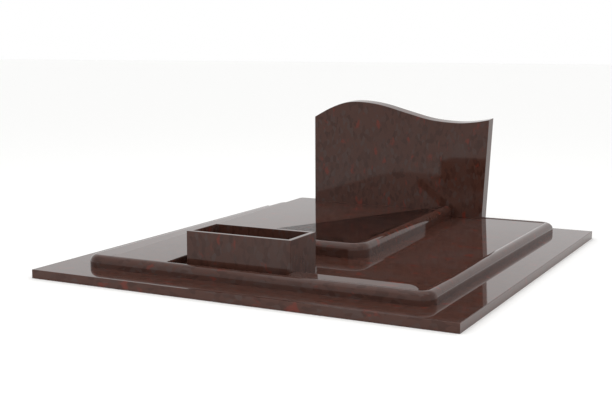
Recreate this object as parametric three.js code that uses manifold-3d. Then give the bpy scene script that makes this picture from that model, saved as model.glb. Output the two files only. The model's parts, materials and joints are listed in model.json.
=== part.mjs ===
// Granite grave monument: a base slab, a carved grave slab with a rounded kerb and a raised
// field, an upright headstone with a wavy top, and a hollow planter box.
// Millimetres, +Z up, front towards -Y. The origin is under the middle of the base slab.
import * as THREE from 'three';
import * as BufferGeometryUtils from 'three/addons/utils/BufferGeometryUtils.js';
import Module from 'manifold-3d';

// Clearance between pieces that are cut to each other.
const FIT_GAP = 0.3;

// Base slab, flat on the ground.
const BASE_WIDTH = 2357;
const BASE_DEPTH = 2515;
const BASE_THICKNESS = 47;
const BASE_ARRIS = 3;

// Carved slab on the base: margins from the base's edges to the kerb's outer face.
const LEFT_MARGIN = 187;
const RIGHT_MARGIN = 204;
const FRONT_MARGIN = 196;
const BACK_MARGIN = 115;
const KERB_CORNER_RADIUS = 50;
const KERB_CORNER_STEPS = 8;

// Kerb: a half-round bar along the slab's edge, on a short straight foot.
const KERB_WIDTH = 80;
const KERB_HEIGHT = 62;
const KERB_FOOT_CHAMFER = 5;
const ROUND_STEPS = 12;

// Sunken floor and raised field: two parallel planes that rise gently to the back.
const FALL = 0.0163;
const FALL_START = 236;
const FIELD_HEIGHT_AT_FRONT = 62;
const FIELD_ABOVE_FLOOR = 39;
const FIELD_LEFT_EDGE = 340;
const FIELD_ARRIS = 9;

// The recess runs from behind the front kerb round to the right of the field.
const RECESS_LEFT_EDGE = 693;

// Sloping ledge behind the front kerb, from the planter to its rounded right end.
const LEDGE_LEFT_EDGE = 1384;
const LEDGE_RIGHT_MARGIN = 292;
const LEDGE_DEPTH = 132;
const LEDGE_HEIGHT_AT_FRONT = 56;
const LEDGE_HEIGHT_AT_BACK = 66;
const LEDGE_END_RADIUS = 82;

// Roll moulding that borders the field: its crest line, its size and its corner.
const ROLL_WIDTH = 80;
const ROLL_HEIGHT = 76;
const ROLL_SIDE_CREST_MARGIN = 892;
const ROLL_FRONT_CREST = 918;
const ROLL_CORNER_RADIUS = 62;
const ROLL_START = 742;
const ROLL_TOP_FLAT = 2;

// Headstone: an upright slab let into the back of the carved slab.
const STONE_LEFT = 497;
const STONE_RIGHT_FOOT = 1695;
const STONE_THICKNESS = 90;
const STONE_TOP_FALL_TO_FRONT = 7;
const STONE_FRONT = 2310;
const STONE_FOOT_HEIGHT = 56;
const STONE_TOP_STEPS = 44;
// Wavy top, left to right: distance from the base's left edge, height over the base slab.
const STONE_TOP = [
  [494, 678], [607, 738], [722, 779], [837, 787], [987, 769], [1177, 720], [1337, 682], [1507, 668],
  [1627, 676], [1729, 694],
];

// Planter box: an open box of slabs of true thickness, standing in the recess.
const PLANTER_LEFT = 775;
const PLANTER_FRONT = 300;
const PLANTER_WIDTH = 606;
const PLANTER_DEPTH = 274;
const PLANTER_TOP = 222;
const PLANTER_WALL = 26;
const PLANTER_BOTTOM = 26;

const GRANITE = { color: 0x4a2f2a, roughness: 0.12, metalness: 0.0 };

const wasm = await Module();
wasm.setup();

// Heights of the two planes at a distance y from the base's front edge, over the base slab.
const fieldHeight = (y) => FIELD_HEIGHT_AT_FRONT + FALL * (y - FALL_START);
const floorHeight = (y) => fieldHeight(y) - FIELD_ABOVE_FLOOR;

function toSolid(geometry) {
  const bare = geometry.index ? geometry.toNonIndexed() : geometry.clone();
  bare.deleteAttribute('normal');
  bare.deleteAttribute('uv');
  const merged = BufferGeometryUtils.mergeVertices(bare, 1e-4);
  const mesh = new wasm.Mesh({
    numProp: 3,
    vertProperties: new Float32Array(merged.attributes.position.array),
    triVerts: new Uint32Array(merged.index.array),
  });
  return new wasm.Manifold(mesh);
}

function toGeometry(solid) {
  const { numProp, vertProperties, triVerts } = solid.getMesh();
  const positions = new Float32Array((vertProperties.length / numProp) * 3);
  for (let i = 0; i < positions.length / 3; i += 1) {
    for (let k = 0; k < 3; k += 1) {
      positions[3 * i + k] = vertProperties[numProp * i + k];
    }
  }
  const geometry = new THREE.BufferGeometry();
  geometry.setAttribute('position', new THREE.BufferAttribute(positions, 3));
  geometry.setIndex(new THREE.BufferAttribute(new Uint32Array(triVerts), 1));
  const flat = geometry.toNonIndexed();
  flat.computeVertexNormals();
  return flat;
}

function boxSolid(low, high) {
  const size = high.map((value, k) => value - low[k]);
  const geometry = new THREE.BoxGeometry(size[0], size[1], size[2]);
  geometry.translate(low[0] + size[0] / 2, low[1] + size[1] / 2, low[2] + size[2] / 2);
  return toSolid(geometry);
}

// A closed shell through rings of equal length: each ring is a list of [x, y, z] points,
// counter-clockwise from above. The rings either end in flat caps or join into a hoop.
function shellThroughRings(rings, hoop) {
  const count = rings[0].length;
  const positions = rings.flat(2);
  const index = [];
  const bands = hoop ? rings.length : rings.length - 1;
  for (let r = 0; r < bands; r += 1) {
    const low = r * count;
    const high = ((r + 1) % rings.length) * count;
    for (let i = 0; i < count; i += 1) {
      const j = (i + 1) % count;
      index.push(low + i, low + j, high + j, low + i, high + j, high + i);
    }
  }
  if (!hoop) {
    const capOf = (ring) => THREE.ShapeUtils.triangulateShape(ring.map(([x, y]) => new THREE.Vector2(x, y)), []);
    const top = (rings.length - 1) * count;
    capOf(rings[0]).forEach(([a, b, c]) => index.push(a, c, b));
    capOf(rings[rings.length - 1]).forEach(([a, b, c]) => index.push(top + a, top + b, top + c));
  }
  const geometry = new THREE.BufferGeometry();
  geometry.setAttribute('position', new THREE.BufferAttribute(new Float32Array(positions), 3));
  geometry.setIndex(index);
  return geometry;
}

// Rounded rectangle at one height, counter-clockwise, drawn in by an offset.
function roundedRectangle(left, right, front, back, radius, offset, z) {
  const corner = Math.max(radius - offset, 0.5);
  const centres = [
    [right - offset - corner, front + offset + corner, -90],
    [right - offset - corner, back - offset - corner, 0],
    [left + offset + corner, back - offset - corner, 90],
    [left + offset + corner, front + offset + corner, 180],
  ];
  return centres.flatMap(([x, y, start]) => Array.from({ length: KERB_CORNER_STEPS + 1 }, (_, k) => {
    const angle = THREE.MathUtils.degToRad(start + (90 * k) / KERB_CORNER_STEPS);
    return [x + corner * Math.cos(angle), y + corner * Math.sin(angle), z];
  }));
}

const KERB_OUTLINE = [
  LEFT_MARGIN, BASE_WIDTH - RIGHT_MARGIN, FRONT_MARGIN, BASE_DEPTH - BACK_MARGIN, KERB_CORNER_RADIUS,
];

// The kerb's half-round bar, as a hoop of rounded rectangles.
function kerbSolid() {
  const radius = KERB_WIDTH / 2;
  const foot = KERB_HEIGHT - radius;
  const profile = [[KERB_FOOT_CHAMFER, 0], [0, KERB_FOOT_CHAMFER]];
  for (let k = 0; k <= ROUND_STEPS; k += 1) {
    const angle = Math.PI * (1 - k / ROUND_STEPS);
    profile.push([radius + radius * Math.cos(angle), foot + radius * Math.sin(angle)]);
  }
  profile.push([KERB_WIDTH, 0]);
  return toSolid(shellThroughRings(profile.map(([offset, z]) => roundedRectangle(...KERB_OUTLINE, offset, z)), true));
}

// A prism over a plan outline, from below the slab up to a sloping plane.
function slopedPrism(outline, heightAt, arris = 0) {
  const shape = new THREE.Shape(outline.map(([x, y]) => new THREE.Vector2(x, y)));
  const below = 60;
  const geometry = new THREE.ExtrudeGeometry(shape, { depth: below, bevelEnabled: false });
  geometry.translate(0, 0, -below - arris);
  const position = geometry.attributes.position;
  for (let i = 0; i < position.count; i += 1) {
    position.setZ(i, position.getZ(i) + heightAt(position.getY(i)));
  }
  return toSolid(geometry);
}

// The floor fills the kerb from crest line to crest line.
function floorSolid() {
  const crest = KERB_WIDTH / 2;
  const outline = roundedRectangle(...KERB_OUTLINE, crest, 0).map(([x, y]) => [x, y]);
  return slopedPrism(outline, floorHeight);
}

// The raised field: an L beside and behind the recess. Its edge to the recess's front part has
// a rounded arris, made of narrow steps towards the wall.
function fieldSolid() {
  const front = FRONT_MARGIN + KERB_WIDTH / 2;
  const back = BASE_DEPTH - BACK_MARGIN;
  const right = BASE_WIDTH - ROLL_SIDE_CREST_MARGIN;
  const arrisSteps = 4;
  const outlineAt = (wall) => [
    [FIELD_LEFT_EDGE, front], [wall, front], [wall, ROLL_FRONT_CREST],
    [right - ROLL_CORNER_RADIUS, ROLL_FRONT_CREST], [right, ROLL_FRONT_CREST + ROLL_CORNER_RADIUS],
    [right, back], [FIELD_LEFT_EDGE, back],
  ];
  let solid = slopedPrism(outlineAt(RECESS_LEFT_EDGE - FIELD_ARRIS), fieldHeight);
  for (let k = 0; k < arrisSteps; k += 1) {
    const angle = (Math.PI / 2) * ((k + 1) / arrisSteps);
    const wall = RECESS_LEFT_EDGE - FIELD_ARRIS + FIELD_ARRIS * Math.sin(angle);
    solid = solid.add(slopedPrism(outlineAt(wall), fieldHeight, FIELD_ARRIS * (1 - Math.cos(angle))));
  }
  return solid;
}

// The level land between the kerb's crest and the field, left of the recess.
function landSolid() {
  const crest = KERB_WIDTH / 2;
  const ring = (z) => roundedRectangle(...KERB_OUTLINE, crest, z);
  const plate = toSolid(shellThroughRings([ring(0), ring(KERB_HEIGHT)], false));
  return plate.intersect(boxSolid([0, 0, 0], [FIELD_LEFT_EDGE + 1, BASE_DEPTH, KERB_HEIGHT]));
}

// The ledge slopes down to the kerb's crest; its right end is a quarter round in plan.
function ledgeSolid() {
  const right = BASE_WIDTH - LEDGE_RIGHT_MARGIN;
  const front = FRONT_MARGIN + KERB_WIDTH / 2;
  const back = FRONT_MARGIN + LEDGE_DEPTH;
  const outline = [[LEDGE_LEFT_EDGE, front], [right, front]];
  for (let k = 0; k <= KERB_CORNER_STEPS; k += 1) {
    const angle = (Math.PI / 2) * (k / KERB_CORNER_STEPS);
    outline.push([
      right - LEDGE_END_RADIUS * (1 - Math.cos(angle)),
      back - LEDGE_END_RADIUS * (1 - Math.sin(angle)),
    ]);
  }
  outline.push([LEDGE_LEFT_EDGE, back]);
  const slope = (LEDGE_HEIGHT_AT_BACK - LEDGE_HEIGHT_AT_FRONT) / (back - front);
  return slopedPrism(outline, (y) => LEDGE_HEIGHT_AT_FRONT + slope * (y - front));
}

// The roll moulding: its crest line turns one rounded corner, and both ends are round.
function rollSolid() {
  const right = BASE_WIDTH - ROLL_SIDE_CREST_MARGIN;
  const end = STONE_FRONT - FIT_GAP - ROLL_WIDTH / 2;
  const cornerSteps = 8;
  const endSteps = 8;
  const line = [[ROLL_START, ROLL_FRONT_CREST, 0]];
  for (let k = 0; k <= cornerSteps; k += 1) {
    const angle = (Math.PI / 2) * (k / cornerSteps);
    line.push([
      right - ROLL_CORNER_RADIUS + ROLL_CORNER_RADIUS * Math.sin(angle),
      ROLL_FRONT_CREST + ROLL_CORNER_RADIUS - ROLL_CORNER_RADIUS * Math.cos(angle),
      angle,
    ]);
  }
  line.push([right, end, Math.PI / 2]);
  // Outline at a distance from the crest line: along its right side, round the end and back.
  const outlineAt = (distance, z) => {
    const shifted = (point, turn) => {
      const direction = point[2] + turn;
      const x = point[0] + distance * Math.cos(direction);
      const y = point[1] + distance * Math.sin(direction);
      return [x, y, z + floorHeight(y)];
    };
    const sideOut = line.map((point) => shifted(point, -Math.PI / 2));
    const sideIn = line.map((point) => shifted(point, Math.PI / 2)).reverse();
    const cap = (point, start) => Array.from({ length: endSteps - 1 }, (_, k) => (
      shifted(point, start + (Math.PI * (k + 1)) / endSteps)));
    return [...sideOut, ...cap(line[line.length - 1], -Math.PI / 2), ...sideIn, ...cap(line[0], Math.PI / 2)];
  };
  const radius = ROLL_WIDTH / 2;
  const foot = ROLL_HEIGHT - radius;
  const below = 15;
  const rings = [outlineAt(radius, -below)];
  for (let k = 0; k <= ROUND_STEPS / 2; k += 1) {
    const angle = (Math.PI / 2) * (k / (ROUND_STEPS / 2));
    const distance = Math.max(radius * Math.cos(angle), ROLL_TOP_FLAT);
    rings.push(outlineAt(distance, foot + radius * Math.sin(angle)));
  }
  return toSolid(shellThroughRings(rings, false));
}

// The headstone's face outline: upright sides, the right one leaning out, and the wavy top.
function headstoneGeometry(gap) {
  const spline = new THREE.SplineCurve(STONE_TOP.map(([x, z]) => new THREE.Vector2(x, z)));
  const top = spline.getPoints(STONE_TOP_STEPS).reverse();
  const foot = STONE_FOOT_HEIGHT - gap;
  const shape = new THREE.Shape([
    new THREE.Vector2(STONE_LEFT - gap, foot),
    new THREE.Vector2(STONE_RIGHT_FOOT + gap, foot),
    ...top,
  ]);
  const geometry = new THREE.ExtrudeGeometry(shape, { depth: STONE_THICKNESS + 2 * gap, bevelEnabled: false });
  geometry.rotateX(Math.PI / 2);
  geometry.translate(0, STONE_FRONT + STONE_THICKNESS + gap, 0);
  // The top's back edge stands a little higher, so rain runs off to the front.
  const position = geometry.attributes.position;
  for (let i = 0; i < position.count; i += 1) {
    if (position.getZ(i) > STONE_FOOT_HEIGHT && position.getY(i) > STONE_FRONT + STONE_THICKNESS / 2) {
      position.setZ(i, position.getZ(i) + STONE_TOP_FALL_TO_FRONT);
    }
  }
  geometry.computeVertexNormals();
  return geometry;
}

function carvedSlabGeometry() {
  const stone = toSolid(headstoneGeometry(FIT_GAP));
  const behindStone = boxSolid(
    [STONE_LEFT - FIT_GAP, STONE_FRONT + STONE_THICKNESS, STONE_FOOT_HEIGHT - FIT_GAP],
    [STONE_RIGHT_FOOT + FIT_GAP, BASE_DEPTH, KERB_HEIGHT + STONE_FOOT_HEIGHT],
  );
  const ground = boxSolid([0, 0, 0], [BASE_WIDTH, BASE_DEPTH, 4 * KERB_HEIGHT]);
  const carved = floorSolid()
    .add(kerbSolid())
    .add(landSolid())
    .add(ledgeSolid())
    .add(fieldSolid())
    .add(rollSolid())
    .intersect(ground)
    .subtract(stone)
    .subtract(behindStone);
  return toGeometry(carved);
}

function baseSlabGeometry() {
  const rectangle = (inset, z) => [
    [inset, inset, z], [BASE_WIDTH - inset, inset, z],
    [BASE_WIDTH - inset, BASE_DEPTH - inset, z], [inset, BASE_DEPTH - inset, z],
  ];
  const rings = [
    rectangle(0, 0), rectangle(0, BASE_THICKNESS - BASE_ARRIS), rectangle(BASE_ARRIS, BASE_THICKNESS),
  ];
  return toGeometry(toSolid(shellThroughRings(rings, false)));
}

// The planter's underside is cut to the floor's fall; its rim is level.
function planterGeometry() {
  const right = PLANTER_LEFT + PLANTER_WIDTH;
  const back = PLANTER_FRONT + PLANTER_DEPTH;
  const body = new THREE.BoxGeometry(PLANTER_WIDTH, PLANTER_DEPTH, PLANTER_TOP);
  body.translate(PLANTER_LEFT + PLANTER_WIDTH / 2, PLANTER_FRONT + PLANTER_DEPTH / 2, PLANTER_TOP / 2);
  const position = body.attributes.position;
  for (let i = 0; i < position.count; i += 1) {
    if (position.getZ(i) < PLANTER_TOP / 2) {
      position.setZ(i, floorHeight(position.getY(i)) + FIT_GAP);
    }
  }
  const hollow = boxSolid(
    [PLANTER_LEFT + PLANTER_WALL, PLANTER_FRONT + PLANTER_WALL, floorHeight(back) + PLANTER_BOTTOM],
    [right - PLANTER_WALL, back - PLANTER_WALL, PLANTER_TOP + PLANTER_BOTTOM],
  );
  return toGeometry(toSolid(body).subtract(hollow));
}

function addPiece(group, name, geometry, z) {
  const mesh = new THREE.Mesh(geometry, new THREE.MeshStandardMaterial(GRANITE));
  mesh.name = name;
  mesh.position.z = z;
  group.add(mesh);
}

const monument = new THREE.Group();
monument.position.set(-BASE_WIDTH / 2, -BASE_DEPTH / 2, 0);
addPiece(monument, 'base_slab', baseSlabGeometry(), 0);
addPiece(monument, 'carved_slab', carvedSlabGeometry(), BASE_THICKNESS);
addPiece(monument, 'headstone', headstoneGeometry(0), BASE_THICKNESS);
addPiece(monument, 'planter_box', planterGeometry(), BASE_THICKNESS);

const root = new THREE.Group();
root.add(monument);

export default root;
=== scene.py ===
"""Looks of a polished granite grave monument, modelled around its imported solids.

The monument is a base slab, a carved grave slab with a rounded kerb and a raised field, an
upright headstone with a wavy top, and an open planter box. Every length below is in millimetres
of the real stone, measured from the base slab's front left corner and its top face.
"""
import sys
import json
import logging
import math
from collections.abc import Callable, Iterator
from contextlib import contextmanager
from dataclasses import dataclass, field
from enum import Enum

import bmesh
import bpy
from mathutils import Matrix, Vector

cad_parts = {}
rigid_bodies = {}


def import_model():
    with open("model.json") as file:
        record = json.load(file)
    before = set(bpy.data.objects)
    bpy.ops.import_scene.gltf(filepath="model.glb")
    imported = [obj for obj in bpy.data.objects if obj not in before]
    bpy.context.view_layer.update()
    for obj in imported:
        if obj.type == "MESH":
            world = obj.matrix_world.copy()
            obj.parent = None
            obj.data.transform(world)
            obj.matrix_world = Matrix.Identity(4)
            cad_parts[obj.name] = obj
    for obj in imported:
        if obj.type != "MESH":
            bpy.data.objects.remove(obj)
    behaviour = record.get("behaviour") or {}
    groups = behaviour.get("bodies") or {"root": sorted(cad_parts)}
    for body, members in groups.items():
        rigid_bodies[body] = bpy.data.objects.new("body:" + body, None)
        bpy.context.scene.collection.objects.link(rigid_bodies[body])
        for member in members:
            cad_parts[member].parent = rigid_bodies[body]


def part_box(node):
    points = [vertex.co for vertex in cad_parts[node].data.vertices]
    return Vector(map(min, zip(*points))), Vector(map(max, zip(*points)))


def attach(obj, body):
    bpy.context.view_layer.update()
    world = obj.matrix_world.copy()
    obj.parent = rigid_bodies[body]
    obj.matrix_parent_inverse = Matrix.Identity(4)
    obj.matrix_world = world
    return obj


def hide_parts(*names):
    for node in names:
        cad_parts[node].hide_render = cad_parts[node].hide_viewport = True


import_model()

LOG = logging.getLogger("monument")
MM = 0.001
ROOT_BODY = "root"
# Two places closer than this, in metres, count as one.
NEAR = 0.001
TOUCHING = 1e-6
# Upward part of a face's normal: at least this for a level face, at most that for an upright one.
LEVEL = 0.9
UPRIGHT = 0.1


class Side(Enum):
    """How a stone face was sawn from the block, which sets the way its grain runs."""

    BED = "bed"
    UPRIGHT = "upright"


class Cut(Enum):
    """Names of the joins and cuts that the boolean modifier makes."""

    JOIN = "UNION"
    REMOVE = "DIFFERENCE"


@dataclass(frozen=True)
class Place:
    """Turns a place on the real stone into a place in the shared frame.

    The shared frame's origin is under the middle of the base slab.
    """

    left: float
    front: float
    top: float

    def point(self, x: float, y: float, z: float) -> Vector:
        """Gives the shared frame's point, in metres.

        Args:
            x: Distance from the base slab's left edge, in mm.
            y: Distance from the base slab's front edge, in mm.
            z: Height over the base slab's top face, in mm.

        Returns:
            The point in metres.
        """
        return Vector((self.left + x * MM, self.front + y * MM, self.top + z * MM))


@dataclass(frozen=True)
class Fall:
    """The gentle rise to the back of the carved slab's two main planes."""

    rise: float = 0.0163
    start: float = 236.0
    field_at_start: float = 62.0
    field_above_floor: float = 39.0

    def field_height(self, y: float) -> float:
        """Height of the raised field's top, in mm, at a distance y from the front."""
        return self.field_at_start + self.rise * (y - self.start)

    def floor_height(self, y: float) -> float:
        """Height of the sunken floor, in mm, at a distance y from the front."""
        return self.field_height(y) - self.field_above_floor


def linear_colour(hex_code: str) -> tuple[float, float, float, float]:
    """Turns an sRGB hex colour into linear light.

    Args:
        hex_code: Colour as six hex digits with a leading hash.

    Returns:
        Red, green, blue and alpha in linear light.
    """
    channels = [int(hex_code[i:i + 2], 16) / 255 for i in (1, 3, 5)]
    light = [c / 12.92 if c <= 0.04045 else ((c + 0.055) / 1.055) ** 2.4 for c in channels]
    return (light[0], light[1], light[2], 1.0)


def add_node(tree: bpy.types.NodeTree, kind: str, settings: dict | None = None,
             links: dict | None = None) -> bpy.types.Node:
    """Adds one shader node with its settings and its incoming links.

    Args:
        tree: Node tree that takes the node.
        kind: Blender's identifier of the node.
        settings: Values by attribute name or, for sockets, by input name or number.
        links: Output sockets by the input name or number that they feed.

    Returns:
        The new node.
    """
    node = tree.nodes.new(kind)
    for name, value in (settings or {}).items():
        if isinstance(name, str) and hasattr(node, name):
            setattr(node, name, value)
        else:
            node.inputs[name].default_value = value
    for name, output in (links or {}).items():
        tree.links.new(output, node.inputs[name])
    return node


@dataclass(frozen=True)
class PolishedGranite:
    """Dark red-brown granite, sawn, ground and polished to a mirror gloss.

    The eye sees a brown ground with darker and greyish crystals, scattered red feldspar blotches
    of two to six centimetres, and a clear reflection that grows towards flat angles. The crystals
    are drawn coarser than real ones, which would be too fine to show. Each spread gives the values
    of a pattern between which its colour sets in.
    """

    name: str
    side: Side
    ground: str = "#492e26"
    dark_crystal: str = "#3e261f"
    grey_crystal: str = "#483530"
    red_feldspar: str = "#602b21"
    crystal_mm: float = 20.0
    blotch_mm: float = 55.0
    cloud_mm: float = 260.0
    wander_mm: float = 22.0
    wander_detail: float = 3.0
    blotch_detail: float = 2.5
    blotch_roughness: float = 0.55
    cloud_detail: float = 4.0
    dark_spread: tuple[float, float] = (0.45, 0.95)
    grey_spread: tuple[float, float] = (0.72, 0.98)
    cloud_spread: tuple[float, float] = (0.5, 0.8)
    red_spread: tuple[float, float] = (0.6, 0.72)
    stretch: float = 1.8
    gloss: float = 0.05
    refraction: float = 1.34

    def grain_scale(self) -> tuple[float, float, float]:
        """Stretches the grain: flat in a bed face, upright in a standing face.

        Returns:
            Scale of the grain's pattern along x, y and z.
        """
        if self.side is Side.UPRIGHT:
            return (1.0, 1.0, 1.0 / self.stretch)
        return (1.0 / self.stretch, 1.0, 1.0)

    def build(self) -> bpy.types.Material:
        """Makes the stone's material.

        Returns:
            The finished material.
        """
        material = bpy.data.materials.new(self.name)
        material.use_nodes = True
        tree = material.node_tree
        tree.nodes.clear()
        place = add_node(tree, "ShaderNodeTexCoord")
        grain = add_node(tree, "ShaderNodeMapping", {"Scale": self.grain_scale()},
                         {"Vector": place.outputs["Object"]})
        warp = add_node(tree, "ShaderNodeTexNoise",
                        {"Scale": 1 / (self.blotch_mm * MM), "Detail": self.wander_detail},
                        {"Vector": grain.outputs["Vector"]})
        bent = add_node(tree, "ShaderNodeVectorMath",
                        {"operation": "MULTIPLY_ADD", 1: (self.wander_mm * MM,) * 3},
                        {0: warp.outputs["Color"], 2: grain.outputs["Vector"]})
        crystals = add_node(tree, "ShaderNodeTexVoronoi", {"Scale": 1 / (self.crystal_mm * MM)},
                            {"Vector": bent.outputs["Vector"]})
        pick = add_node(tree, "ShaderNodeSeparateColor", {}, {"Color": crystals.outputs["Color"]})
        clouds = add_node(tree, "ShaderNodeTexNoise",
                          {"Scale": 1 / (self.cloud_mm * MM), "Detail": self.cloud_detail},
                          {"Vector": grain.outputs["Vector"]})
        blotches = add_node(tree, "ShaderNodeTexNoise",
                            {"Scale": 1 / (self.blotch_mm * MM), "Detail": self.blotch_detail,
                             "Roughness": self.blotch_roughness},
                            {"Vector": bent.outputs["Vector"]})
        colour = self.ground
        for over, pattern, spread in (
            (self.dark_crystal, pick.outputs["Red"], self.dark_spread),
            (self.grey_crystal, pick.outputs["Green"], self.grey_spread),
            (self.grey_crystal, clouds.outputs["Fac"], self.cloud_spread),
            (self.red_feldspar, blotches.outputs["Fac"], self.red_spread),
        ):
            colour = self._mix(tree, colour, over, self._ramp(tree, pattern, *spread))
        shader = add_node(tree, "ShaderNodeBsdfPrincipled",
                          {"Roughness": self.gloss, "IOR": self.refraction},
                          {"Base Color": colour})
        add_node(tree, "ShaderNodeOutputMaterial", {}, {"Surface": shader.outputs["BSDF"]})
        return material

    @staticmethod
    def _ramp(tree: bpy.types.NodeTree, value: bpy.types.NodeSocket, low: float,
              high: float) -> bpy.types.NodeSocket:
        """Turns a pattern's value into a mask that rises smoothly from low to high.

        Args:
            tree: The material's node tree.
            value: The pattern's value.
            low: Value below which the mask is empty.
            high: Value above which the mask is full.

        Returns:
            The mask.
        """
        node = add_node(tree, "ShaderNodeMapRange",
                        {"interpolation_type": "SMOOTHSTEP", "From Min": low, "From Max": high},
                        {"Value": value})
        return node.outputs["Result"]

    @staticmethod
    def _mix(tree: bpy.types.NodeTree, under: str | bpy.types.NodeSocket, over: str,
             mask: bpy.types.NodeSocket) -> bpy.types.NodeSocket:
        """Lays one colour over another where the mask is high.

        Args:
            tree: The material's node tree.
            under: Colour below, as a hex code or as another node's colour.
            over: Colour on top, as a hex code.
            mask: Where the colour on top shows.

        Returns:
            The mixed colour.
        """
        settings = {"data_type": "RGBA", 7: linear_colour(over)}
        links = {0: mask}
        if isinstance(under, str):
            settings[6] = linear_colour(under)
        else:
            links[6] = under
        return add_node(tree, "ShaderNodeMix", settings, links).outputs[2]


def deselect_all() -> None:
    """Leaves nothing selected in the scene."""
    for thing in bpy.context.view_layer.objects:
        thing.select_set(False)


def take_up(piece: bpy.types.Object) -> None:
    """Makes a piece the only selected object, and the active one."""
    deselect_all()
    piece.select_set(True)
    bpy.context.view_layer.objects.active = piece


def block(name: str, low: Vector, high: Vector) -> bpy.types.Object:
    """Adds a rectangular block of stone at its size and place, ready to be carved.

    Args:
        name: Name of the new object.
        low: Lowest corner, in metres.
        high: Highest corner, in metres.

    Returns:
        The block, with its place in its mesh.
    """
    deselect_all()
    bpy.ops.mesh.primitive_cube_add(size=1.0, location=(low + high) / 2, scale=high - low)
    piece = bpy.context.object
    piece.name = name
    piece.data.name = name
    bpy.ops.object.transform_apply(location=True, rotation=True, scale=True)
    return piece


@contextmanager
def carving(piece: bpy.types.Object) -> Iterator[bmesh.types.BMesh]:
    """Opens a piece for carving in edit mode with nothing selected.

    Args:
        piece: The piece to carve.

    Yields:
        The edit mesh, in which faces, edges and vertices are selected.
    """
    take_up(piece)
    bpy.ops.object.mode_set(mode="EDIT")
    bpy.ops.mesh.select_mode(type="VERT")
    bpy.ops.mesh.select_all(action="DESELECT")
    yield bmesh.from_edit_mesh(piece.data)
    bpy.ops.object.mode_set(mode="OBJECT")


def select_edges(piece: bpy.types.Object, mesh: bmesh.types.BMesh,
                 wanted: Callable[[bmesh.types.BMEdge], bool]) -> None:
    """Selects the edges that a test names, and no others.

    Args:
        piece: The piece that is being carved.
        mesh: Its edit mesh.
        wanted: Says whether an edge is selected.
    """
    bpy.ops.mesh.select_mode(type="EDGE")
    bpy.ops.mesh.select_all(action="DESELECT")
    for edge in mesh.edges:
        edge.select = wanted(edge)
    mesh.select_flush_mode()
    bmesh.update_edit_mesh(piece.data)


def select_faces(piece: bpy.types.Object, mesh: bmesh.types.BMesh,
                 wanted: Callable[[bmesh.types.BMFace], bool]) -> None:
    """Selects the faces that a test names, and no others.

    Args:
        piece: The piece that is being carved.
        mesh: Its edit mesh.
        wanted: Says whether a face is selected.
    """
    bpy.ops.mesh.select_mode(type="FACE")
    bpy.ops.mesh.select_all(action="DESELECT")
    for face in mesh.faces:
        face.select = wanted(face)
    mesh.select_flush_mode()
    bmesh.update_edit_mesh(piece.data)


def round_edges(piece: bpy.types.Object, wanted: Callable[[bmesh.types.BMEdge], bool],
                radius_mm: float, segments: int) -> None:
    """Rounds the edges that a test names.

    Args:
        piece: The piece to carve.
        wanted: Says whether an edge is rounded.
        radius_mm: Radius of the rounding, in mm.
        segments: Number of flat strips in the rounding.
    """
    with carving(piece) as mesh:
        select_edges(piece, mesh, wanted)
        bpy.ops.mesh.bevel(offset=radius_mm * MM, offset_type="OFFSET", segments=segments,
                           affect="EDGES", clamp_overlap=False)


def is_upright(edge: bmesh.types.BMEdge) -> bool:
    """Says whether an edge stands upright."""
    a, b = (v.co for v in edge.verts)
    return abs(a.x - b.x) < TOUCHING and abs(a.y - b.y) < TOUCHING


def is_rim(edge: bmesh.types.BMEdge) -> bool:
    """Says whether an edge parts a level face from an upright one, at its top.

    Args:
        edge: The edge to look at.

    Returns:
        True for such an edge.
    """
    if len(edge.link_faces) != 2:
        return False
    slopes = sorted(abs(face.normal.z) for face in edge.link_faces)
    level = max(edge.link_faces, key=lambda face: abs(face.normal.z))
    return slopes[0] < UPRIGHT and slopes[1] > LEVEL and level.normal.z > 0


def combine(piece: bpy.types.Object, tool: bpy.types.Object, cut: Cut) -> None:
    """Joins another block to a piece, or cuts it away, and deletes that block.

    Args:
        piece: The piece that stays.
        tool: The block that is joined or cut away.
        cut: Whether the block is joined or removed.
    """
    take_up(piece)
    modifier = piece.modifiers.new("Cut", "BOOLEAN")
    modifier.operation = cut.value
    modifier.solver = "EXACT"
    modifier.object = tool
    bpy.ops.object.modifier_apply(modifier=modifier.name)
    bpy.data.objects.remove(tool)


def polish(piece: bpy.types.Object, smooth_angle: float) -> None:
    """Shades a piece smooth over its roundings, with its flat faces kept truly flat.

    Args:
        piece: The finished shape.
        smooth_angle: Largest angle, in degrees, between faces that shade as one.
    """
    take_up(piece)
    bpy.ops.object.shade_smooth_by_angle(angle=math.radians(smooth_angle))
    modifier = piece.modifiers.new("Flat faces", "WEIGHTED_NORMAL")
    modifier.mode = "FACE_AREA"
    modifier.weight = 100
    modifier.keep_sharp = True
    bpy.ops.object.modifier_apply(modifier=modifier.name)


@dataclass
class Piece:
    """A piece of the monument: its CAD node's name, the piece's own name and its finish."""

    place: Place
    finish: PolishedGranite
    node: str = ""
    title: str = ""
    arris: float = 2.5
    arris_segments: int = 3
    sharp_angle: float = 40.0
    smooth_angle: float = 35.0

    def shape(self) -> bpy.types.Object:
        """Models the piece."""
        raise NotImplementedError

    def is_sharp(self, edge: bmesh.types.BMEdge) -> bool:
        """Says whether two faces meet at an edge as sharply as an arris."""
        return edge.calc_face_angle(0.0) > math.radians(self.sharp_angle)

    def build(self) -> bpy.types.Object:
        """Models the piece, finishes it and ties it to the frame.

        Returns:
            The finished piece.
        """
        piece = self.shape()
        polish(piece, self.smooth_angle)
        piece.data.materials.clear()
        piece.data.materials.append(self.finish.build())
        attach(piece, ROOT_BODY)
        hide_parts(self.node)
        return piece


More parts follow.
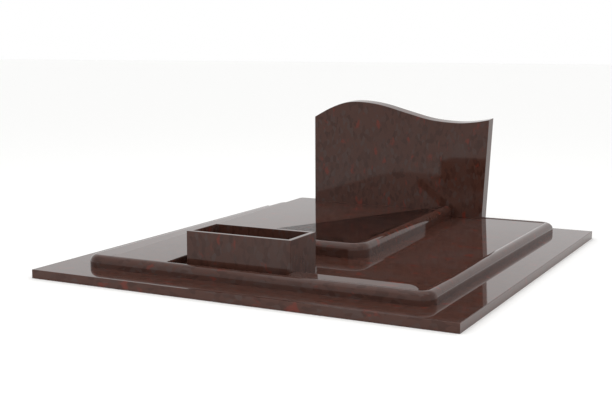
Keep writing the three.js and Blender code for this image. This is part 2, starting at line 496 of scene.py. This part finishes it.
@dataclass
class BaseSlab(Piece):
    """The flat slab on the ground."""

    width: float = 2357.0
    depth: float = 2515.0
    thickness: float = 47.0

    def shape(self) -> bpy.types.Object:
        """Models the slab with its polished arrises.

        Returns:
            The slab.
        """
        slab = block(self.title, self.place.point(0, 0, -self.thickness),
                     self.place.point(self.width, self.depth, 0))
        underside = self.place.point(0, 0, -self.thickness).z
        round_edges(slab, lambda edge: max(v.co.z for v in edge.verts) > underside + self.arris * MM,
                    self.arris, self.arris_segments)
        return slab


@dataclass
class CarvedSlab(Piece):
    """The grave slab: kerb, sunken floor, ledge, raised field and roll moulding, from one block.

    Known fault: joining the roll moulding leaves a false triangular sheet of no thickness across
    its inner corner, 37 mm over the raised field. The moulding's narrow, angle-shaped crest face
    is the likely cause; this isn't proven.
    """

    fall: Fall = field(default_factory=Fall)
    left: float = 187.0
    right: float = 2153.0
    front: float = 196.0
    back: float = 2400.0
    corner_radius: float = 83.0
    kerb_width: float = 80.0
    kerb_height: float = 62.0
    kerb_rounding: float = 39.8
    floor_depth: float = 50.0
    floor_block: float = 10.0
    form_foot: float = 5.0
    overlap: float = 1.0
    beyond: float = 50.0
    cut_top: float = 300.0
    field_left: float = 340.0
    field_right: float = 1465.0
    field_block: float = 60.0
    field_corner_radius: float = 30.0
    edge_segments: int = 4
    recess_left: float = 693.0
    recess_arris: float = 9.0
    recess_segments: int = 6
    roll_front: float = 918.0
    roll_width: float = 80.0
    roll_height: float = 76.0
    roll_foot: float = 20.0
    roll_corner_radius: float = 62.0
    roll_rounding: float = 39.2
    roll_start: float = 702.0
    ledge_low: tuple[float, float] = (1384.0, 236.0)
    ledge_high: tuple[float, float] = (2065.0, 328.0)
    ledge_height: float = 56.0
    ledge_rise: float = 10.0
    ledge_end_radius: float = 82.0
    round_segments: int = 14
    corner_segments: int = 14
    stone_low: tuple[float, float, float] = (497.0, 2310.0, 56.0)
    stone_high: tuple[float, float, float] = (1695.0, 2400.0, 200.0)
    gap: float = 0.3
    seam_width: float = 0.05

    def shape(self) -> bpy.types.Object:
        """Carves the slab.

        Returns:
            The carved slab as one mesh, with the known fault.
        """
        slab = self._kerb()
        combine(slab, self._floor(), Cut.JOIN)
        combine(slab, self._land(), Cut.JOIN)
        combine(slab, self._ledge(), Cut.JOIN)
        combine(slab, self._field(), Cut.JOIN)
        combine(slab, self._roll(), Cut.JOIN)
        combine(slab, self._stone_seat(), Cut.REMOVE)
        with carving(slab):
            bpy.ops.mesh.select_all(action="SELECT")
            bpy.ops.mesh.remove_doubles(threshold=self.seam_width * MM)
            bpy.ops.mesh.select_all(action="SELECT")
            # Closes three loose edges of the false sheet, so the mesh counts as closed. It doesn't
            # repair the sheet, and should go when the join of the roll moulding is repaired.
            bpy.ops.mesh.fill_holes(sides=3)
        return slab

    def _slope(self, piece: bpy.types.Object, rise_at: Callable[[float], float], foot: float) -> None:
        """Raises all of a block above its foot, by an amount that depends on the place.

        Args:
            piece: The block to raise.
            rise_at: Rise, in mm, at a distance from the front, in mm.
            foot: Height, in mm, up to which a vertex stays.
        """
        for vertex in piece.data.vertices:
            height = (vertex.co.z - self.place.top) / MM
            if height > foot + self.overlap:
                y = (vertex.co.y - self.place.front) / MM
                vertex.co.z += rise_at(y) * MM

    def _kerb(self) -> bpy.types.Object:
        """Cuts the block to its rounded outline and carves the half-round kerb on it.

        Returns:
            The block with its kerb, hollow inside it.
        """
        slab = block(self.title, self.place.point(self.left, self.front, 0),
                     self.place.point(self.right, self.back, self.kerb_height))
        round_edges(slab, is_upright, self.corner_radius, self.corner_segments)
        with carving(slab) as mesh:
            select_faces(slab, mesh, lambda face: face.normal.z > LEVEL)
            bpy.ops.mesh.inset(thickness=self.kerb_width * MM, use_even_offset=True)
            bpy.ops.mesh.extrude_region_move(
                TRANSFORM_OT_translate={"value": (0, 0, -self.floor_depth * MM)})
        crest = self.place.point(0, 0, self.kerb_height - self.overlap).z
        round_edges(slab, lambda edge: is_rim(edge) and edge.verts[0].co.z > crest,
                    self.kerb_rounding, self.round_segments)
        return slab

    def _floor(self) -> bpy.types.Object:
        """Makes the sunken floor, which rises gently to the back.

        Returns:
            The floor.
        """
        half = self.kerb_width / 2
        floor = block("Floor", self.place.point(self.left + half, self.front + half, self.form_foot),
                      self.place.point(self.right - half, self.back - half, self.floor_block))
        self._slope(floor, lambda y: self.fall.floor_height(y) - self.floor_block, self.form_foot)
        return floor

    def _land(self) -> bpy.types.Object:
        """Makes the level land between the kerb's crest and the raised field.

        Returns:
            The land.
        """
        half = self.kerb_width / 2
        land = block("Land", self.place.point(self.left + half, self.front + half, self.form_foot),
                     self.place.point(self.field_left + self.overlap, self.back - half, self.kerb_height))
        edge_x = self.place.point(self.left + half + self.overlap, 0, 0).x
        round_edges(land, lambda edge: is_upright(edge) and edge.verts[0].co.x < edge_x,
                    self.corner_radius - half, self.corner_segments)
        return land

    def _ledge(self) -> bpy.types.Object:
        """Makes the sloping ledge behind the front kerb, with its rounded right end.

        Returns:
            The ledge.
        """
        ledge = block("Ledge", self.place.point(*self.ledge_low, self.form_foot),
                      self.place.point(*self.ledge_high, self.ledge_height))
        self._round_upright(ledge, *self.ledge_high, self.ledge_end_radius)
        front = self.place.point(0, self.ledge_low[1] + self.overlap, 0).y
        round_edges(ledge, lambda edge: is_rim(edge) and max(v.co.y for v in edge.verts) > front,
                    self.arris * 2, self.edge_segments)
        depth = self.ledge_high[1] - self.ledge_low[1]
        self._slope(ledge, lambda y: self.ledge_rise * (y - self.ledge_low[1]) / depth, self.form_foot)
        return ledge

    def _field(self) -> bpy.types.Object:
        """Makes the raised field, with the rounded arris of its wall to the recess.

        Returns:
            The raised field.
        """
        start = self.front + self.kerb_width / 2
        raised = block("Field", self.place.point(self.field_left, start, self.form_foot),
                       self.place.point(self.field_right, self.back, self.field_block))
        recess = block("Recess", self.place.point(self.recess_left, start - self.beyond, -self.beyond),
                       self.place.point(self.field_right + self.beyond, self.roll_front, self.cut_top))
        self._slope(raised, lambda y: self.fall.field_height(y) - self.field_block, self.form_foot)
        combine(raised, recess, Cut.REMOVE)
        corner = self.place.point(self.field_left + self.overlap, self.back - self.overlap, 0)
        round_edges(raised, lambda edge: (is_upright(edge) and edge.verts[0].co.x < corner.x
                                          and edge.verts[0].co.y > corner.y),
                    self.field_corner_radius, self.corner_segments)
        round_edges(raised, lambda edge: is_rim(edge) and self._is_recess_rim(edge),
                    self.recess_arris, self.recess_segments)
        round_edges(raised, lambda edge: is_rim(edge) and self._is_outer_rim(edge),
                    self.arris * 2, self.edge_segments)
        return raised

    def _is_recess_rim(self, edge: bmesh.types.BMEdge) -> bool:
        """Says whether a rim edge runs along the field's wall to the recess.

        Args:
            edge: The rim edge.

        Returns:
            True for such an edge.
        """
        wall = self.place.point(self.recess_left, self.roll_front - self.overlap, 0)
        return (all(abs(v.co.x - wall.x) < NEAR for v in edge.verts)
                and min(v.co.y for v in edge.verts) < wall.y)

    def _is_outer_rim(self, edge: bmesh.types.BMEdge) -> bool:
        """Says whether a rim edge is on the field's left or back side.

        Args:
            edge: The rim edge.

        Returns:
            True for such an edge.
        """
        left = self.place.point(self.field_left + self.field_corner_radius, 0, 0).x + NEAR
        back = self.place.point(0, self.back - self.field_corner_radius, 0).y - NEAR
        middle = (edge.verts[0].co + edge.verts[1].co) / 2
        return middle.x < left or middle.y > back

    def _roll(self) -> bpy.types.Object:
        """Makes the roll moulding: an angle-shaped bar, half round on top, with round ends.

        Returns:
            The roll moulding.
        """
        half = self.roll_width / 2
        inner = self.field_right - half
        outer = self.field_right + half
        front = self.roll_front - half
        back = self.roll_front + half
        end = self.stone_low[1] - self.gap
        roll = block("Roll", self.place.point(inner, front, -self.roll_foot),
                     self.place.point(outer, back, self.roll_height))
        with carving(roll) as mesh:
            select_faces(roll, mesh, lambda face: face.normal.y > LEVEL)
            bpy.ops.mesh.extrude_region_move(TRANSFORM_OT_translate={"value": (0, (end - back) * MM, 0)})
            mesh = bmesh.from_edit_mesh(roll.data)
            limit = self.place.point(0, back + self.overlap, 0).y
            select_faces(roll, mesh,
                         lambda face: face.normal.x < -LEVEL and face.calc_center_median().y < limit)
            bpy.ops.mesh.extrude_region_move(
                TRANSFORM_OT_translate={"value": ((self.roll_start - inner) * MM, 0, 0)})
            bpy.ops.mesh.select_all(action="SELECT")
            bpy.ops.mesh.dissolve_limited(angle_limit=math.radians(1))
        self._round_upright(roll, outer, front, self.roll_corner_radius + half)
        self._round_upright(roll, inner, back, self.roll_corner_radius - half)
        for x, y in ((inner, end), (outer, end), (self.roll_start, front), (self.roll_start, back)):
            self._round_upright(roll, x, y, self.roll_rounding)
        round_edges(roll, is_rim, self.roll_rounding - self.gap, self.round_segments)
        self._slope(roll, self.fall.floor_height, -2 * self.roll_foot)
        return roll

    def _round_upright(self, piece: bpy.types.Object, x: float, y: float, radius: float) -> None:
        """Rounds the upright edge that stands at a place.

        Args:
            piece: The piece to carve.
            x: Distance from the base slab's left edge, in mm.
            y: Distance from the base slab's front edge, in mm.
            radius: Radius of the rounding, in mm.
        """
        target = self.place.point(x, y, 0)
        round_edges(piece, lambda edge: (is_upright(edge) and abs(edge.verts[0].co.x - target.x) < NEAR
                                         and abs(edge.verts[0].co.y - target.y) < NEAR),
                    radius, self.corner_segments)

    def _stone_seat(self) -> bpy.types.Object:
        """Makes the block that is cut out for the headstone's foot.

        Returns:
            The cutting block.
        """
        low = [value - self.gap for value in self.stone_low]
        high = [self.stone_high[0] + self.gap, self.stone_high[1] + self.beyond, self.stone_high[2]]
        return block("Seat", self.place.point(*low), self.place.point(*high))


@dataclass
class Headstone(Piece):
    """The upright slab with its wavy top, which falls a little to the front."""

    left: float = 497.0
    right_foot: float = 1695.0
    front: float = 2310.0
    thickness: float = 90.0
    foot: float = 56.0
    fall_to_front: float = 7.0
    ground_off: float = 0.2
    columns: int = 72
    least_run: float = 100.0
    top: tuple[tuple[float, float], ...] = (
        (494, 678), (607, 738), (722, 779), (837, 787), (987, 769), (1177, 720), (1337, 682), (1507, 668),
        (1627, 676), (1729, 694),
    )

    def top_point(self, share: float) -> tuple[float, float]:
        """Follows the smooth curve through the top's points, a Catmull-Rom spline.

        Args:
            share: Way along the curve, from 0 at the left to 1 at the right.

        Returns:
            Distance from the base slab's left edge and height, in mm.
        """
        last = len(self.top) - 1
        step = min(int(share * last), last - 1)
        t = share * last - step
        near = [self.top[max(0, min(last, step + k))] for k in (-1, 0, 1, 2)]
        spread = []
        for p0, p1, p2, p3 in zip(*near):
            start, end = (p2 - p0) / 2, (p3 - p1) / 2
            spread.append((2 * p1 - 2 * p2 + start + end) * t ** 3
                          + (-3 * p1 + 3 * p2 - 2 * start - end) * t ** 2 + start * t + p1)
        return spread[0], spread[1]

    def shape(self) -> bpy.types.Object:
        """Models the stone with its wavy top and its polished arrises.

        Returns:
            The headstone.
        """
        height = self.top[0][1]
        stone = block(self.title, self.place.point(self.left, self.front, self.foot),
                      self.place.point(self.right_foot, self.front + self.thickness, height))
        with carving(stone) as mesh:
            select_edges(stone, mesh, lambda edge: (
                abs(edge.verts[0].co.x - edge.verts[1].co.x) > self.least_run * MM))
            bpy.ops.mesh.subdivide(number_cuts=self.columns - 1)
        low_x = self.place.point(self.left, 0, 0).x
        width = (self.right_foot - self.left) * MM
        middle = self.place.point(0, self.front + self.thickness / 2, (self.foot + height) / 2)
        for vertex in stone.data.vertices:
            if vertex.co.z > middle.z:
                x, z = self.top_point(round((vertex.co.x - low_x) / width * self.columns) / self.columns)
                vertex.co.x = self.place.point(x, 0, 0).x
                slant = self.fall_to_front if vertex.co.y > middle.y else 0.0
                vertex.co.z = self.place.point(0, 0, z + slant - self.ground_off).z
        round_edges(stone, self.is_sharp, self.arris, self.arris_segments)
        return stone


@dataclass
class PlanterBox(Piece):
    """The open box for plants, hollow and empty."""

    fall: Fall = field(default_factory=Fall)
    left: float = 775.0
    front: float = 300.0
    width: float = 606.0
    depth: float = 274.0
    top: float = 222.0
    wall: float = 26.0
    bottom: float = 26.0
    gap: float = 0.3
    floor_margin: float = 1.0

    def shape(self) -> bpy.types.Object:
        """Models the box, hollowed out from its top.

        Returns:
            The planter box.
        """
        back = self.front + self.depth
        box = block(self.title, self.place.point(self.left, self.front, 0),
                    self.place.point(self.left + self.width, back, self.top))
        for vertex in box.data.vertices:
            if vertex.co.z < self.place.point(0, 0, self.top / 2).z:
                y = (vertex.co.y - self.place.front) / MM
                vertex.co.z = self.place.point(0, 0, self.fall.floor_height(y) + self.gap).z
        hollow = self.top - self.fall.floor_height(back) - self.bottom
        with carving(box) as mesh:
            select_faces(box, mesh, lambda face: face.normal.z > LEVEL)
            bpy.ops.mesh.inset(thickness=self.wall * MM, use_even_offset=True)
            bpy.ops.mesh.extrude_region_move(TRANSFORM_OT_translate={"value": (0, 0, -hollow * MM)})
        inner_floor = self.place.point(0, 0, self.top - hollow + self.floor_margin).z
        round_edges(box, lambda edge: self.is_sharp(edge) and max(v.co.z for v in edge.verts) > inner_floor,
                    self.arris, self.arris_segments)
        return box


@dataclass
class Studio:
    """Pale floor, soft light and the camera at the photograph's viewing angle.

    The floor and the lamp are in metres and watts, the eye in millimetres of the real stone.
    """

    place: Place
    lens_mm: float = 62.24
    sensor_mm: float = 36.0
    eye: tuple[float, float, float] = (3782.0, -4167.5, 1170.0)
    tilt_down: float = 8.6
    turn: float = 27.4
    floor_size: float = 120.0
    floor_colour: str = "#fbfbfa"
    floor_roughness: float = 0.9
    floor_sheen: float = 0.1
    sky_colour: str = "#ffffff"
    sky_strength: float = 1.0
    lamp_size: tuple[float, float] = (7.0, 6.0)
    lamp_power: float = 70.0
    lamp_place: tuple[float, float, float] = (0.5, -1.0, 5.5)

    def build(self) -> None:
        """Adds the floor, the light and the camera."""
        self._add_floor()
        self._add_sky()
        self._add_light()
        self._add_camera()

    def _add_floor(self) -> None:
        """Adds the plain pale floor."""
        deselect_all()
        bpy.ops.mesh.primitive_plane_add(size=self.floor_size, location=(0, 0, 0))
        floor = bpy.context.object
        floor.name = "studio_floor"
        material = bpy.data.materials.new("Matt studio paper")
        material.use_nodes = True
        shader = material.node_tree.nodes["Principled BSDF"]
        shader.inputs["Base Color"].default_value = linear_colour(self.floor_colour)
        shader.inputs["Roughness"].default_value = self.floor_roughness
        shader.inputs["Specular IOR Level"].default_value = self.floor_sheen
        floor.data.materials.append(material)

    def _add_sky(self) -> None:
        """Adds the even light of a white studio."""
        world = bpy.data.worlds.new("Studio")
        world.use_nodes = True
        background = world.node_tree.nodes["Background"]
        background.inputs["Color"].default_value = linear_colour(self.sky_colour)
        background.inputs["Strength"].default_value = self.sky_strength
        bpy.context.scene.world = world

    def _add_light(self) -> None:
        """Adds one large soft lamp overhead."""
        data = bpy.data.lights.new("Soft box", "AREA")
        data.shape = "RECTANGLE"
        data.size, data.size_y = self.lamp_size
        data.energy = self.lamp_power
        lamp = bpy.data.objects.new("Soft box", data)
        lamp.location = self.lamp_place
        bpy.context.scene.collection.objects.link(lamp)

    def _add_camera(self) -> None:
        """Adds the camera at the photograph's viewing angle."""
        data = bpy.data.cameras.new("Camera")
        data.sensor_width = self.sensor_mm
        data.lens = self.lens_mm
        camera = bpy.data.objects.new("Camera", data)
        camera.location = self.place.point(*self.eye)
        camera.rotation_euler = (math.radians(90 - self.tilt_down), 0, math.radians(self.turn))
        bpy.context.scene.collection.objects.link(camera)
        bpy.context.scene.camera = camera
        bpy.context.scene.view_settings.view_transform = "Standard"


def main() -> None:
    """Builds the whole scene."""
    logging.basicConfig(level=logging.INFO, format="%(name)s: %(message)s", stream=sys.stdout)
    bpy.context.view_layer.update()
    base_low, base_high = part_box("base_slab")
    place = Place(left=base_low.x, front=base_low.y, top=base_high.z)
    bed = PolishedGranite("Polished red-brown granite, bed face", Side.BED)
    upright = PolishedGranite("Polished red-brown granite, upright face", Side.UPRIGHT)
    Studio(place).build()
    for piece in (
        BaseSlab(place, bed, "base_slab", "Base_slab"),
        CarvedSlab(place, bed, "carved_slab", "Carved_slab"),
        Headstone(place, upright, "headstone", "Wavy_headstone"),
        PlanterBox(place, upright, "planter_box", "Open_planter_box"),
    ):
        stone = piece.build()
        faces = stone.data.polygons
        LOG.info("%s: %d faces, %d triangles", stone.name, len(faces),
                 sum(len(face.vertices) - 2 for face in faces))


if __name__ == "__main__":
    main()
